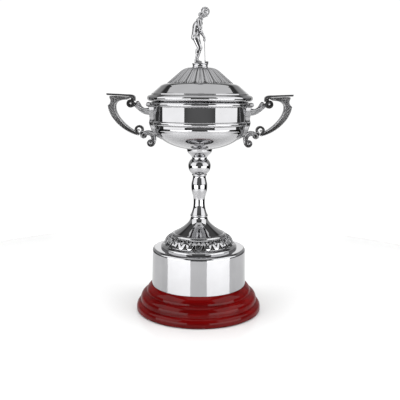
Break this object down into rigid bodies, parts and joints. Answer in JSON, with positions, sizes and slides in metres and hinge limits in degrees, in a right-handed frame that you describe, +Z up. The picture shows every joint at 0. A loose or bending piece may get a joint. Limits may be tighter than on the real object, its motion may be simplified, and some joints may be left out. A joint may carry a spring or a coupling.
{
  "type": "cup trophy",
  "caption": "Lidded silver-plated presentation cup with scroll handles, turned stem and a small golfer on the lid, on a red lacquered wooden base.",
  "frame": {"origin": "centre of the base's underside, on the axis of the stem, where the felt meets the table", "axes": "+Z up along the stem, the two handles along -X and +X, the front faces -Y, the golfer on the lid faces +X"},
  "size_m": [0.2014, 0.14, 0.3316],
  "materials": {
    "silver_plate": "mirror-polished silver plate",
    "cast_silver": "cast and plated, polished high spots over darkened recesses",
    "red_lacquer": "deep red gloss lacquer",
    "core_wood": "bare turned softwood",
    "steel": "zinc-plated",
    "felt": "pressed felt"
  },
  "bodies": {
    "cup": {"base_felt": "felt", "wood_base": "red_lacquer", "plinth_core": "core_wood", "plinth_band": "silver_plate", "foot": "silver_plate", "foot_border": "cast_silver", "baluster_stem": "silver_plate", "stem_collar": "silver_plate", "knop": "silver_plate", "bowl_socket": "silver_plate", "bowl_pan": "silver_plate", "bowl_wall": "silver_plate", "waist_band": "silver_plate", "rim_band": "silver_plate", "left_handle": "cast_silver", "right_handle": "cast_silver", "handle_screws": "steel", "handle_washers": "steel", "tie_rod": "steel", "base_washer": "steel", "base_nut": "steel", "bowl_washer": "steel", "bowl_nut": "steel"},
    "lid_seat": {"lid_ring": "silver_plate"},
    "lid": {"lid_rim_band": "silver_plate", "lid_cover": "silver_plate", "lid_cap": "cast_silver", "figure_pedestal": "silver_plate", "golfer": "cast_silver", "golf_club": "silver_plate", "figure_stud": "steel", "figure_washer": "steel", "figure_nut": "steel"}
  },
  "joints": [
    {"name": "lid_lift", "type": "slide", "parent": "cup", "child": "lid_seat", "axis": [0, 0, 1], "range_m": [0, 0.09]},
    {"name": "lid_turn", "type": "hinge", "parent": "lid_seat", "child": "lid", "pos_m": [0, 0, 0.236], "axis": [0, 0, 1], "continuous": true}
  ]
}
